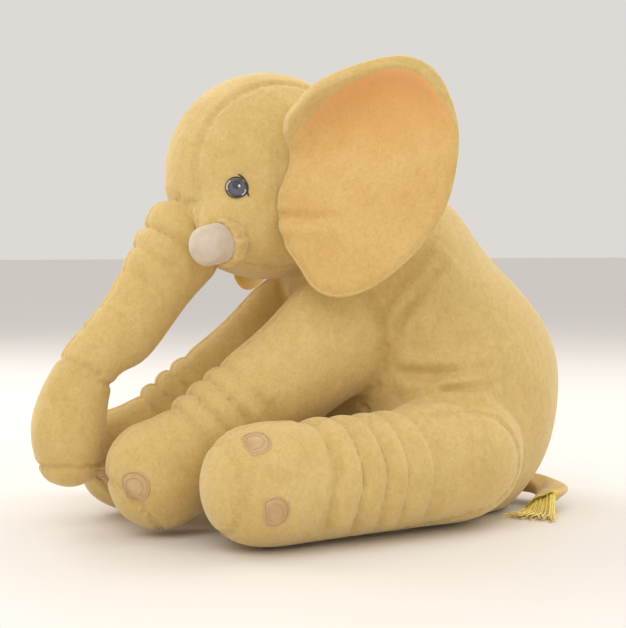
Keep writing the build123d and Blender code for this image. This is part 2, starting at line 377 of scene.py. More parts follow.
# ---- materials ----
class Nodes:
    """A node material in the making, with short calls for the nodes that it uses."""

    def __init__(self, name):
        self.material = bpy.data.materials.new(name)
        self.material.use_nodes = True
        self.tree = self.material.node_tree
        self.shader = self.tree.nodes["Principled BSDF"]
        self.place = self.add("ShaderNodeTexCoord").outputs["Object"]

    def add(self, kind, **settings):
        node = self.tree.nodes.new(kind)
        for key, value in settings.items():
            setattr(node, key, value)
        return node

    def link(self, output, socket):
        self.tree.links.new(output, socket)

    def noise(self, scale, detail=2.0, roughness=0.5, distortion=0.0, stretch=None):
        node = self.add("ShaderNodeTexNoise")
        place = self.place
        if stretch:
            mapping = self.add("ShaderNodeMapping")
            mapping.inputs["Scale"].default_value = stretch
            self.link(place, mapping.inputs["Vector"])
            place = mapping.outputs["Vector"]
        self.link(place, node.inputs["Vector"])
        for socket, value in zip(("Scale", "Detail", "Roughness", "Distortion"),
                                 (scale, detail, roughness, distortion)):
            node.inputs[socket].default_value = value
        return node.outputs["Fac"]

    def ramp(self, value, stops):
        node = self.add("ShaderNodeValToRGB")
        for element, (position, colour) in zip(node.color_ramp.elements, (stops[0], stops[-1])):
            element.position = position
            element.color = (*colour, 1)
        for position, colour in stops[1:-1]:
            node.color_ramp.elements.new(position).color = (*colour, 1)
        self.link(value, node.inputs["Fac"])
        return node.outputs["Color"]

    def mix(self, factor, first, second, kind="MIX"):
        node = self.add("ShaderNodeMix", data_type="RGBA", blend_type=kind)
        if isinstance(factor, float):
            node.inputs["Factor"].default_value = factor
        else:
            self.link(factor, node.inputs["Factor"])
        self.link(first, node.inputs[6])
        self.link(second, node.inputs[7])
        return node.outputs[2]

    def bump(self, height, strength, distance, under=None):
        node = self.add("ShaderNodeBump")
        node.inputs["Strength"].default_value = strength
        node.inputs["Distance"].default_value = distance
        self.link(height, node.inputs["Height"])
        if under is not None:
            self.link(under, node.inputs["Normal"])
        return node.outputs["Normal"]

    def set(self, **sockets):
        for key, value in sockets.items():
            self.shader.inputs[key.replace("_", " ")].default_value = value

    def use(self, colour=None, normal=None, roughness=None):
        for output, socket in ((colour, "Base Color"), (normal, "Normal"), (roughness, "Roughness")):
            if output is not None:
                self.link(output, self.shader.inputs[socket])
        return self.material


# Painted glow in the ear's hollow: a warm orange painted into the lining that stands in for backlight through
# the ear and the shade under its rolled rim; its colour, and the heights between which it grows.
PAINTED_EAR_GLOW = ((0.86, 0.43, 0.16), 0.335, 0.405)


def pile_fabric(name, shade, middle, light, painted_glow=None):
    """Short soft pile: brushed patches, fine grain, a fuzzy sheen towards the edges, and where given a
    painted warm glow that grows with height.
    """
    n = Nodes(name)
    patches = n.ramp(n.noise(22, 3, 0.55, 0.6), [(0.32, shade), (0.52, middle), (0.72, light)])
    strokes = n.ramp(n.noise(70, 3, 0.6, 1.2, (1, 1, 0.45)), [(0.35, shade), (0.65, light)])
    grain = n.noise(950, 2, 0.7)
    speck = n.ramp(grain, [(0.3, (0.80, 0.78, 0.72)), (0.55, (1, 1, 1))])
    deep = tuple(0.90 * c for c in shade)
    crushed = n.ramp(n.noise(190, 3, 0.65, 0.8), [(0.34, deep), (0.50, middle), (0.66, light)])
    colour = n.mix(0.35, n.mix(0.35, patches, strokes), crushed)
    colour = n.mix(0.55, colour, n.mix(1.0, colour, speck, "MULTIPLY"))
    # Painted light: the lining turns warm orange with height, standing in for backlight glowing through the
    # ear and the shade in its hollow under the rim.
    if painted_glow:
        painted_glow_tint, low, high = painted_glow
        height = n.add("ShaderNodeSeparateXYZ")
        n.link(n.place, height.inputs["Vector"])
        painted_glow_share = n.add("ShaderNodeMapRange", interpolation_type="SMOOTHSTEP")
        n.link(height.outputs["Z"], painted_glow_share.inputs["Value"])
        for socket, value in (("From Min", low), ("From Max", high), ("To Max", 0.75)):
            painted_glow_share.inputs[socket].default_value = value
        painted_glow_colour = n.ramp(grain, [(0.2, tuple(0.92 * c for c in painted_glow_tint)), (0.8, painted_glow_tint)])
        colour = n.mix(painted_glow_share.outputs["Result"], colour, painted_glow_colour)
    soft = n.bump(n.noise(70, 3, 0.6, 1.2, (1, 1, 0.45)), 0.35, 0.0022)
    pile = n.bump(n.noise(330, 4, 0.7), 0.55, 0.0010, soft)
    fine = n.bump(grain, 0.6, 0.0005, pile)
    n.set(Roughness=0.93, Sheen_Weight=0.55, Sheen_Roughness=0.42, Sheen_Tint=(1.0, 0.93, 0.76, 1))
    n.set(Specular_IOR_Level=0.12, Subsurface_Weight=0.06, Subsurface_Scale=0.006)
    n.shader.inputs["Subsurface Radius"].default_value = (1.0, 0.6, 0.25)
    return n.use(colour, fine)


def velour(name, dark, light):
    """Smooth short velour of the tusks and toenails."""
    n = Nodes(name)
    colour = n.ramp(n.noise(60, 3, 0.5, 0.3), [(0.35, dark), (0.65, light)])
    grain = n.bump(n.noise(1300, 2, 0.6), 0.35, 0.0003)
    n.set(Roughness=0.85, Sheen_Weight=0.5, Sheen_Roughness=0.4, Sheen_Tint=(1.0, 0.97, 0.94, 1))
    n.set(Specular_IOR_Level=0.15)
    return n.use(colour, grain)


def thread(name, dark, light, turn=(0, 0, 0), gauge=2600):
    """Satin-stitched embroidery thread: fine parallel ridges, its colour painted darker in the grooves
    between them as painted shade.
    """
    n = Nodes(name)
    mapping = n.add("ShaderNodeMapping")
    mapping.inputs["Rotation"].default_value = turn
    n.link(n.place, mapping.inputs["Vector"])
    wave = n.add("ShaderNodeTexWave", wave_type="BANDS", bands_direction="Z")
    n.link(mapping.outputs["Vector"], wave.inputs["Vector"])
    wave.inputs["Scale"].default_value = gauge / 8
    wave.inputs["Distortion"].default_value = 1.5
    wave.inputs["Detail"].default_value = 1.0
    # Painted shade: the colour follows the ridges, darker in the grooves between threads and lighter on their
    # tops.
    colour = n.ramp(wave.outputs["Fac"], [(0.2, dark), (0.8, light)])
    n.set(Roughness=0.45, Sheen_Weight=0.2, Specular_IOR_Level=0.5)
    return n.use(colour, n.bump(wave.outputs["Fac"], 0.6, 0.0003))


def yarn(name, dark, light):
    """Loose spun yarn, twisted from thin plies."""
    n = Nodes(name)
    colour = n.ramp(n.noise(240, 3, 0.6, 0.5), [(0.3, dark), (0.7, light)])
    n.set(Roughness=0.7, Sheen_Weight=0.6, Sheen_Roughness=0.3, Specular_IOR_Level=0.25)
    return n.use(colour, n.bump(n.noise(1500, 2, 0.6), 0.5, 0.0003))


def studio_surface(name, colour, roughness):
    n = Nodes(name)
    tone = n.ramp(n.noise(3, 2), [(0.3, tuple(0.985 * c for c in colour)), (0.7, colour)])
    n.set(Roughness=roughness, Specular_IOR_Level=0.3)
    return n.use(tone)


PLUSH = pile_fabric("plush_pile", (0.63, 0.44, 0.155), (0.70, 0.505, 0.195), (0.76, 0.575, 0.245))
# The ear lining's colour carries the painted warm glow of its hollow.
LINING = pile_fabric("ear_lining", (0.70, 0.44, 0.15), (0.76, 0.505, 0.19), (0.80, 0.56, 0.23), PAINTED_EAR_GLOW)
TUSK = velour("tusk_velour", (0.60, 0.49, 0.38), (0.70, 0.60, 0.49))
TOENAIL = velour("toenail_velour", (0.56, 0.37, 0.18), (0.64, 0.45, 0.25))
STITCH = thread("stitch_thread", (0.50, 0.33, 0.13), (0.70, 0.51, 0.24))
YARN = yarn("tail_yarn", (0.94, 0.74, 0.12), (1.0, 0.88, 0.36))


def given(obj, material):
    """Gives a piece its material."""
    obj.data.materials.clear()
    obj.data.materials.append(material)


# ---- skin: tucks, seams and panels ----
SPINES = {
    "trunk": Spine("trunk_filling", (0, -0.58, -0.81)),
    "trunk_tip": Spine("trunk_tip_filling", (0, -0.1, -0.99), 6),
}
for hand in SIDES:
    SPINES[f"foreleg_{hand}"] = Spine(f"foreleg_filling_{hand}", (0, -0.79, -0.61))
    SPINES[f"hindleg_{hand}"] = Spine(f"hindleg_filling_{hand}", (0, -1, 0))

# Where each limb's tucks lie, as a share of its length, and how deep they are in metres.
HIND_TUCKS = [(0.40, 0.004), (0.48, 0.005), (0.555, 0.006), (0.64, 0.007), (0.73, 0.007)]
FORE_TUCKS = [(0.53, 0.0035), (0.605, 0.006), (0.68, 0.0065), (0.755, 0.0055)]
TRUNK_TUCKS = [(0.0, 0.009), (0.20, 0.008), (0.34, 0.0045), (0.48, 0.0030), (0.60, 0.0010)]
FAINT_TRUNK_TUCKS = [(0.74, 0.0022), (0.83, 0.0012), (0.92, 0.0015)]
PUFF = 0.33                 # how far the fabric stands out between two tucks, as a share of depth


def limb_tucks(co, body):
    """How far each point of one limb's skin is drawn in, and in which direction."""
    kind, _, hand = body.partition("_")
    side = (SIDES.get(hand, 1), 0, 0)
    if kind == "hindleg":
        share, angle, out = SPINES[body].coordinates(co, side, (0, 0, 1))
        depth = tucks(share, angle, HIND_TUCKS, 50, 85)
    elif kind == "foreleg":
        share, angle, out = SPINES[body].coordinates(co, side, (0, -0.61, 0.79))
        depth = tucks(share, angle, FORE_TUCKS, 55, 95)
    elif body == "trunk":
        share, angle, out = SPINES[body].coordinates(co, side, (0, -0.81, 0.58))
        depth = tucks(share, angle, TRUNK_TUCKS, 90, 95) + tucks(share, angle, FAINT_TRUNK_TUCKS, 90, 80)
    else:
        return np.zeros_like(co)
    return -depth[:, None] * out


# Grooves where two panels are sewn together: depth and half width in metres.
PANEL_SEAM = (0.0030, 0.0026)
BODY_SEAMS = {
    ("head", "trunk"): (0.0050, 0.0050),
    ("trunk", "trunk_tip"): (0.0034, 0.0030),
    ("head", "torso"): (0.0045, 0.0060),
    ("foreleg", "torso"): (0.0035, 0.0045),
    ("hindleg", "torso"): (0.0016, 0.0045),
}


def seam_depth(skin, owner, bodies):
    """How deep the sewn seams draw the fabric in."""
    co = points_of(skin.data)
    edges = edges_of(skin.data)
    first, second = edges[owner[edges[:, 0]] != owner[edges[:, 1]]].T
    plain = {body: body.removesuffix("_left").removesuffix("_right") for body in set(bodies)}
    kinds = {}
    for a, b in zip(first, second):
        pair = tuple(sorted({plain[bodies[a]], plain[bodies[b]]}))
        kinds.setdefault(BODY_SEAMS.get(pair, PANEL_SEAM), []).append((co[a] + co[b]) / 2)
    depth = np.zeros(len(co))
    for (deep, width), places in kinds.items():
        tree = tree_of(np.array(places))
        away = np.array([tree.find(point)[2] for point in co])
        depth = np.maximum(depth, deep * np.exp(-(away / width) ** 2))
    return depth


# Creases pressed into the left side and mirrored on the right, in mm: points, depth, half width.
SHOULDER_FOLD = [(105, -20, 262), (118, -58, 230), (108, -80, 195), (98, -92, 160)]
BELLY_FOLD = [(95, -85, 142), (115, -55, 142), (132, -20, 144), (136, 10, 150)]
HIP_FOLD = [(130, -100, 118), (130, -65, 124), (148, -30, 120), (150, 5, 118)]
CREASES = [
    (SHOULDER_FOLD, 11.5, 4),
    (BELLY_FOLD, 12, 5),
    ([(120, -50, 128), (134, -20, 130), (137, 15, 136)], 9.5, 4.5),
    ([(125, -40, 162), (132, -10, 172), (128, 25, 180)], 4, 8),
    ([(137, 0, 154), (134, 25, 160), (124, 50, 166)], 4.5, 4.5),
    (HIP_FOLD, 6, 5),
    ([(175, -105, 98), (160, -70, 110), (146, -40, 120)], 5, 4.5),
    ([(200, -268, 80), (209, -250, 72), (212, -232, 58)], 5, 6),
    ([(98, -232, 132), (104, -220, 124), (106, -208, 114)], 5, 4.5),
    ([(82, -170, 385), (72, -186, 398), (58, -200, 408)], 4, 4.5),
    ([(86, -178, 372), (78, -200, 382), (66, -216, 386)], 2.8, 4.5),
]
MOUND_HEIGHT = 0.024        # how far the cheek rises round the tusk's root
MOUND_RADIUS = 0.034


def tusk_line(hand):
    """The middle of the tusk's root and the direction in which it points."""
    co = node_points(f"tusk_filling_{hand}")
    middle = middle_of(co)
    along = np.linalg.eigh(np.cov(co.T))[1][:, -1]
    along = along * -np.sign(along[1])
    low = ((co - middle) @ along).min()
    return middle + low * along, along


def tusk_mound(co):
    """The cheek's fabric gathered up round the root of each tusk."""
    move = np.zeros_like(co)
    for hand in SIDES:
        root, along = tusk_line(hand)
        offset = co - root
        beside = np.linalg.norm(offset - np.outer(offset @ along, along), axis=1)
        near = np.exp(-(beside / MOUND_RADIUS) ** 3) * (np.abs(offset @ along) < 0.06)
        move += MOUND_HEIGHT * near[:, None] * along
    return move


def carved(skin, owner):
    """Seams, tucks and creases pressed into the finished skin."""
    co = points_of(skin.data)
    normals = normals_of(skin.data)
    bodies = np.array([BODY_OF[node] for node in SKINS])[owner]
    move = np.zeros_like(co)
    for body in SPINES:
        chosen = bodies == body
        move[chosen] += limb_tucks(co[chosen], body)
    depth = seam_depth(skin, owner, bodies)
    for path, deep, width in CREASES:
        for sign in SIDES.values():
            depth += crease(co, np.array(path) * (sign, 1, 1) * MM, deep * MM, width * MM)
    head = bodies == "head"
    move[head] += tusk_mound(co[head])
    move = relaxed(move, edges_of(skin.data), 1)
    move -= depth[:, None] * normals
    set_points(skin.data, co + move)
    keep_above_floor(skin)


def keep_above_floor(obj):
    """The weight on the seat flattens what would hang lower."""
    co = points_of(obj.data)
    co[:, 2] = np.maximum(co[:, 2], FLOOR_CLEARANCE)
    set_points(obj.data, co)


def panels(skin, owner_of_points):
    """The skin cut into its sewn panels, each an object with the whole skin's shading."""
    co = points_of(skin.data)
    faces = [tuple(p.vertices) for p in skin.data.polygons]
    corners = owner_of_points[np.array(faces)]
    owner = np.where(corners[:, 0] == corners[:, 2], corners[:, 0], corners[:, 1])
    shading = normals_of(skin.data)
    made = {}
    for index, node in enumerate(SKINS):
        mine = [faces[i] for i in np.flatnonzero(owner == index)]
        used = sorted({v for f in mine for v in f})
        place = {v: i for i, v in enumerate(used)}
        piece = new_object(f"{node}_skin", co[used], [[place[v] for v in f] for f in mine])
        smooth_shaded(piece)
        piece.data.normals_split_custom_set_from_vertices([tuple(shading[v]) for v in used])
        made[node] = piece
    return made


BLENDS = {
    "head": ("torso", (0, -0.100, 0.310), (0, -0.132, 0.342)),
    "trunk": ("head", (0, -0.262, 0.256), (0, -0.280, 0.228)),
    "trunk_tip": ("trunk", (0, -0.359, 0.134), (0, -0.366, 0.098)),
}
for hand, sign in SIDES.items():
    BLENDS[f"foreleg_{hand}"] = ("torso", (0.057 * sign, -0.140, 0.164), (0.057 * sign, -0.185, 0.130))
    BLENDS[f"hindleg_{hand}"] = ("torso", (0.118 * sign, -0.060, 0.060), (0.153 * sign, -0.121, 0.060))


def attach(piece, node):
    """Where its body is listed in BLENDS the panel keeps its placement baked into its mesh, unparented;
    otherwise it rides its own body.
    """
    body = BODY_OF[node]
    if body in BLENDS:
        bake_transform(piece)
    else:
        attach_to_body(piece, body)


skin = laid_over_solids()
first_owner = nearest_nodes(points_of(skin.data), SKINS)
carved(skin, first_owner)
SKIN_TREE = BVHTree.FromPolygons(
    [tuple(v.co) for v in skin.data.vertices], [tuple(p.vertices) for p in skin.data.polygons])
for node, piece in panels(skin, first_owner).items():
    given(piece, PLUSH)
    attach(piece, node)
    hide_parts(node)
bpy.data.objects.remove(skin)
for node in FILLINGS:
    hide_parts(node)


# ---- patches laid on the skin ----
class Patch:
    """A small drawing board laid on the skin, with its own sideways and upward directions."""

    def __init__(self, co, up):
        self.centre = SKIN_TREE.find_nearest(Vector(middle_of(co)))[0]
        facings = (SKIN_TREE.find_nearest(Vector(p))[1] for p in co[::7])
        self.out = sum(facings, Vector()).normalized()
        self.across = Vector(up).cross(self.out).normalized()
        self.up = self.out.cross(self.across)

    def place(self, a, b, height):
        start = self.centre + float(a) * self.across + float(b) * self.up
        hit = SKIN_TREE.ray_cast(start + 0.012 * self.out, -self.out, 0.03)[0]
        return (hit or start) + float(height) * self.out


def raised_disc(name, patch, outline, height, crown=0.0, rings=9, segments=72):
    """A flat patch of cloth or stitching whose rim dips into the skin."""
    points = [patch.place(*outline(0, 0), height + crown)]
    for ring in range(1, rings + 1):
        share = ring / rings
        level = height * (1 - share ** 8) - 0.0007 * share ** 8 + crown * (1 - share ** 2)
        points += [patch.place(*outline(share, math.tau * k / segments), level) for k in range(segments)]
    faces = [(0, 1 + k, 1 + (k + 1) % segments) for k in range(segments)]
    return smooth_shaded(new_object(name, points, faces + wall(rings, segments, 1, True)))


def smooth_path(points, steps=12, closed=False):
    """Points along a smooth line through the given ones."""
    p = np.array(points, float)
    last = len(p) - 1
    found = []
    for i in range(len(p) if closed else last):
        near = [(i + k) % len(p) if closed else min(max(i + k, 0), last) for k in (-1, 0, 1, 2)]
        a, b, c, d = p[near]
        for t in np.arange(steps) / steps:
            bend = (2 * a - 5 * b + 4 * c - d) * t * t + (3 * b - a - 3 * c + d) * t ** 3
            found.append(0.5 * (2 * b + (c - a) * t + bend))
    if not closed:
        found.append(p[-1])
    return np.array(found)


def stroke(name, patch, points, width, height, closed=False, stitch=0.00055):
    """A satin-stitched line on the skin: a rounded ribbon with a ridge for each turn of thread."""
    path = smooth_path(points, closed=closed)
    tangent = np.gradient(path, axis=0)
    reach = np.cumsum(np.linalg.norm(tangent, axis=1))
    if closed:
        tangent = np.roll(path, -1, 0) - np.roll(path, 1, 0)
    tangent /= np.maximum(np.linalg.norm(tangent, axis=1, keepdims=True), 1e-9)
    beside = np.stack([-tangent[:, 1], tangent[:, 0]], 1)
    section = np.linspace(-1, 1, 7)
    rows = []
    for i in range(len(path)):
        taper = 1.0 if closed else min(1, 0.35 + 6 * min(i, len(path) - 1 - i) / len(path))
        ridge = 1 + 0.12 * math.sin(math.tau * reach[i] / stitch / 2)
        for w in section:
            a, b = path[i] + beside[i] * w * width / 2 * taper
            rows.append(patch.place(a, b, height * ridge * taper * math.sqrt(max(0, 1 - w * w)) - 0.0003))
    columns = len(section)
    faces = []
    for i in range(len(path) if closed else len(path) - 1):
        here, there = i * columns, (i + 1) % len(path) * columns
        faces += [(here + k, there + k, there + k + 1, here + k + 1) for k in range(columns - 1)]
    return smooth_shaded(new_object(name, rows, faces))


def oval(centre, half_width, half_height):
    def outline(share, angle):
        across, up = half_width * math.cos(angle), half_height * math.sin(angle)
        return centre[0] + share * across, centre[1] + share * up
    return outline


# ---- eyes ----
THREAD_DARK = thread("thread_dark", (0.035, 0.026, 0.018), (0.075, 0.056, 0.038))
THREAD_SLATE = thread("thread_slate", (0.075, 0.070, 0.095), (0.150, 0.145, 0.185))
THREAD_PUPIL = thread("thread_pupil", (0.020, 0.028, 0.028), (0.055, 0.070, 0.066))
THREAD_WHITE = thread("thread_white", (0.70, 0.68, 0.66), (0.92, 0.91, 0.90))
THREAD_CREAM = thread("thread_cream", (0.72, 0.62, 0.42), (0.84, 0.76, 0.56))


def eye(hand):
    patch = Patch(node_points(f"eye_{hand}"), (0, 0, 1))
    flip = SIDES[hand]

    def at(points):
        return [(a * flip * MM, b * MM) for a, b in points]

    ring = [(10.2 * math.cos(t), 9.2 * math.sin(t)) for t in np.linspace(0, math.tau, 16, endpoint=False)]
    left = [(-8.6, -3.0), (-9.0, 0.5), (-8.0, 3.8), (-5.6, 6.4)]
    low_right = [(8.0, -1.4), (8.0, -3.8), (6.6, -6.0), (4.4, -7.0)]
    lid = [(1.0, 12.4), (5.3, 9.4), (8.2, 5.4), (9.9, 0.8), (10.0, -4.6), (11.4, -8.2)]
    fold = [(1.6, 10.6), (4.8, 8.0), (7.4, 4.9)]
    iris = oval((0.6 * flip * MM, -0.3 * MM), 9.6 * MM, 8.8 * MM)
    pupil = oval((0.2 * flip * MM, 2.2 * MM), 5.0 * MM, 4.6 * MM)
    light = oval((2.7 * flip * MM, 1.2 * MM), 1.4 * MM, 1.8 * MM)
    pieces = [
        (raised_disc(f"eye_iris_{hand}", patch, iris, 0.0009, 0.0012), THREAD_SLATE),
        (raised_disc(f"eye_pupil_{hand}", patch, pupil, 0.0022, 0.0006), THREAD_PUPIL),
        (raised_disc(f"eye_light_{hand}", patch, light, 0.0031, 0.0004, 4, 24), THREAD_WHITE),
        (stroke(f"eye_white_rear_{hand}", patch, at(low_right), 1.7 * MM, 0.0026), THREAD_WHITE),
        (stroke(f"eye_white_front_{hand}", patch, at(left), 1.8 * MM, 0.0026), THREAD_WHITE),
        (stroke(f"eye_outline_{hand}", patch, at(ring), 1.5 * MM, 0.0024, closed=True), THREAD_DARK),
        (stroke(f"eye_fold_{hand}", patch, at(fold), 1.1 * MM, 0.0012), THREAD_CREAM),
        (stroke(f"eye_lid_{hand}", patch, at(lid), 1.7 * MM, 0.0024), THREAD_DARK),
    ]
    for piece, material in pieces:
        given(piece, material)
        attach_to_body(piece, "head")
    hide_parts(f"eye_{hand}")


# ---- toenails ----
def groups(co, reach):
    """Points gathered into groups that lie further apart than the reach."""
    left, found = co, []
    while len(left):
        near = np.linalg.norm(left - left[0], axis=1) < reach
        found.append(left[near])
        left = left[~near]
    return found


def toenails(leg, hand):
    node = f"{leg}_toenails_{hand}"
    flat = -0.5 if leg == "hindleg" else -0.72

    def outline(share, angle):
        across, up = math.cos(angle), math.sin(angle)
        reach = share * TOENAIL_RADIUS
        return reach * up, reach * max(flat + 0.16 * abs(across) ** 3 * flat, across)

    for index, co in enumerate(groups(node_points(node), 2.1 * TOENAIL_RADIUS)):
        patch = Patch(co, (0.0, 1.0, 0.25))
        nail = raised_disc(f"{node}_{index}", patch, outline, 0.0006, 0.0010)
        border = [outline(1.0, t) for t in np.linspace(0, math.tau, 28, endpoint=False)]
        seam = stroke(f"{node}_{index}_stitching", patch, border, 0.0026, 0.0014, closed=True)
        inner = [outline(0.62, t) for t in np.linspace(0, math.tau, 24, endpoint=False)]
        quilting = stroke(f"{node}_{index}_quilting", patch, inner, 0.0009, 0.0021, closed=True)
        given(nail, TOENAIL)
        given(seam, STITCH)
        given(quilting, STITCH)
        for piece in (nail, seam, quilting):
            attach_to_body(piece, f"{leg}_{hand}")
        if index == 0:
            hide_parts(node)


# ---- tusks ----
def lathe(name, tip, along, profile, wave=lambda angle, back: 1.0, segments=96):
    """A round form about a line; the profile gives distance behind the tip, and radius."""
    along = Vector(along)
    side = along.orthogonal().normalized()
    other = along.cross(side)
    points = []
    for back, radius in profile:
        for k in range(segments):
            angle = math.tau * k / segments
            r = radius * wave(angle, back)
            outward = side * math.cos(angle) + other * math.sin(angle)
            points.append(Vector(tip) - along * float(back) + outward * float(r))
    return smooth_shaded(new_object(name, points, wall(len(profile), segments)))


TUSK_ROUNDING = 0.016       # length of the tusk's rounded end
TUSK_END_SIZE = 0.98        # the rounded end's radius, as a share of the tusk's
# The rolled collar: distance behind the tip, and radius.
SLEEVE = [(0.038, 0.0150), (0.0330, 0.0168), (0.0305, 0.0190), (0.0312, 0.0214), (0.0345, 0.0228),
          (0.0385, 0.0226), (0.0420, 0.0220), (0.0455, 0.0208), (0.0500, 0.0180)]


def tusk(hand):
    root, along = tusk_line(hand)
    co = node_points(f"tusk_filling_{hand}")
    tip = root + along * (((co - root) @ along).max() + 0.002)
    profile = []
    for back in np.linspace(0.0, 1.0, 12) ** 1.6 * TUSK_ROUNDING:
        fullness = math.sqrt(max(1e-6, 1 - (1 - back / TUSK_ROUNDING) ** 2.4))
        profile.append((back, TUSK_RADIUS * TUSK_END_SIZE * fullness))
    for back in np.linspace(0.002, 0.028, 12):
        fullness = TUSK_END_SIZE + 0.02 * math.sin(back * 90)
        profile.append((TUSK_ROUNDING + back, TUSK_RADIUS * fullness))

    def soft(angle, back):
        dents = 0.012 * math.sin(3 * angle + 1) * min(1, back / 0.01)
        return 1 + dents + 0.006 * math.sin(17 * angle) * step(0.018, 0.04, back)

    def gathered(angle, back):
        fade = 1 - step(0.044, 0.058, back)
        folds = 0.035 * math.sin(9 * angle) + 0.025 * math.sin(16 * angle + 2)
        return 1 + fade * (folds + 0.015 * math.sin(27 * angle))

    cover = lathe(f"tusk_cover_soft_{hand}", tip, along, profile, soft)
    sleeve_line = smooth_path(SLEEVE, 4)
    sleeve = lathe(f"tusk_collar_soft_{hand}", tip, along, [tuple(p) for p in sleeve_line], gathered)
    given(cover, TUSK)
    given(sleeve, PLUSH)
    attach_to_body(cover, "head")
    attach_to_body(sleeve, "head")
    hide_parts(f"tusk_cover_{hand}", f"tusk_filling_{hand}")
    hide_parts(f"tusk_collar_{hand}")


# ---- ears ----
EAR_RINGS = 26
EAR_SEGMENTS = 168
LIP_FROM, LIP_TO = 50, 158          # degrees round the ear, from its outer edge, where the rim rolls forward


def bump(value, middle, spread):
    return np.exp(-((value - middle) / spread) ** 2)


def ear(hand):
    """Inner lining, and back fabric that rolls over the rim, as two crowned panels with one outline."""
    sign, flare = SIDES[hand], math.radians(EAR_FLARE)
    along = np.array((math.sin(flare) * sign, math.cos(flare), 0))
    out = np.array((math.cos(flare) * sign, -math.sin(flare), 0))
    root = np.array(JOINT_POINT[f"ear_{hand}"])
    flat = node_points(f"ear_inner_panel_{hand}")
    reach, height = (flat - root) @ along, flat[:, 2]
    middle = ((reach.min() + reach.max()) / 2, (height.min() + height.max()) / 2)
    angles = np.degrees(np.arctan2(height - middle[1], reach - middle[0]))
    radii = np.hypot(height - middle[1], reach - middle[0])
    order = np.argsort(angles)

    def surface(share, angle, face):
        """Points at a share of the outline's radius, on the front (1) or the back (-1) face."""
        radius = np.interp(angle, angles[order], radii[order], period=360)
        s = middle[0] + share * radius * np.cos(np.radians(angle))
        z = middle[1] + share * radius * np.sin(np.radians(angle))
        bearing = angle % 360
        lip = step(LIP_FROM - 25, LIP_FROM + 15, bearing) * (1 - step(LIP_TO - 18, LIP_TO + 4, bearing))
        lip = lip * (0.5 + 0.5 * step(75, 135, bearing))
        # How thick the ear is: batting, the roll along its rim, and a full lower lobe.
        thick = 0.0085 * np.sqrt(np.maximum(0, 1 - share ** 5))
        thick += 0.0105 * lip * bump(share, 0.89, 0.075) * (1 - share ** 24)
        thick += 0.004 * bump(s, 0.075, 0.045) * bump(z, 0.262, 0.035) * (1 - share ** 5)
        # How far its middle layer stands forward: the hollow, the lobe, the rim and a slight wave.
        mid = -0.020 * bump(s, 0.080, 0.055) * bump(z, 0.372, 0.038)
        mid += 0.004 * bump(s, 0.075, 0.045) * bump(z, 0.262, 0.03)
        mid += 0.018 * lip * step(0.66, 0.95, share) + 0.003 * step(0.8, 1, share)
        mid += 0.0022 * np.sin(np.radians(angle * 3 + 20)) * step(0.6, 1, share)
        mid -= 0.006 * step(0.10, 0.165, s)
        fold_height = 0.290 - 0.12 * np.maximum(s, 0) + 0.9 * np.maximum(s, 0) ** 2
        fold = bump(z, fold_height, 0.0045) - 0.7 * bump(z, fold_height - 0.011, 0.008)
        fold *= 1 - step(0.03, 0.085, s)
        gathers = np.sin(z * math.tau / 0.017 + 5 * s) * bump(s, -0.004, 0.022)
        front = face * thick + mid
        if face > 0:
            front = front - 0.0052 * fold + 0.0016 * gathers
        else:
            front = front - 0.0016 * gathers
        split = 0.965 - 0.150 * lip
        if face > 0:
            front = front - 0.0016 * bump((share - split) * radius, 0, 0.0022)
        near_root = (1 - step(0.004, 0.045, s)) * step(0.235, 0.262, z) * (1 - step(0.362, 0.400, z))
        s = s - near_root * (0.010 + 0.014 * bump(z, 0.297, 0.035))
        return root * (1, 1, 0) + np.outer(s, along) + np.outer(front, out) + np.outer(z, (0, 0, 1)), split

    angle = np.arange(EAR_SEGMENTS) * 360 / EAR_SEGMENTS
    split = surface(np.ones(EAR_SEGMENTS), angle, 1)[1]

    def rings_of(shares, face):
        return [surface(share * np.ones(EAR_SEGMENTS), angle, face)[0] for share in shares]

    def woven(name, rings):
        points = np.concatenate(rings + [[rings[-1].mean(0)]])
        faces = [face[::sign] for face in wall(len(rings), EAR_SEGMENTS, 0, True)]
        last = (len(rings) - 1) * EAR_SEGMENTS
        for k in range(EAR_SEGMENTS):
            after = (k + 1) % EAR_SEGMENTS
            faces.append((last + k, len(points) - 1, last + after)[::sign])
        return smooth_shaded(new_object(name, points, faces))

    inner_rings = rings_of([split * q for q in np.linspace(1, 0.03, EAR_RINGS)], 1)
    border = rings_of([split + (1 - split) * q for q in np.linspace(0, 1, 9)], 1)
    back = rings_of(list(np.linspace(0.995, 0.03, EAR_RINGS + 8)), -1)
    inner = woven(f"ear_lining_{hand}", inner_rings)
    outer = woven(f"ear_back_{hand}", border + back)
    given(inner, LINING)
    given(outer, PLUSH)
    for piece in (inner, outer):
        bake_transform(piece)
    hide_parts(f"ear_inner_panel_{hand}", f"ear_batting_{hand}")
    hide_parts(f"ear_back_panel_{hand}")


# ---- tail ----
STRAP_HALF_WIDTH = 0.018
STRAP_HALF_THICKNESS = 0.0075
STRAP_ROLL = 32                 # degrees that the strap has turned on its side at its end
YARN_COUNT = 54
YARN_RADIUS = 0.0008
YARN_LENGTH = 0.042
# The lining's mouth: size beside the strap's end, and distance back inside the strap.
LINING_MOUTH = [(1.02, 0.004), (1.05, 0.0), (1.02, -0.003), (0.90, -0.0045), (0.72, 0.001), (0.3, 0.003)]
YARN_LINING = pile_fabric("tail_lining", (0.80, 0.58, 0.06), (0.92, 0.74, 0.10), (0.96, 0.82, 0.20))


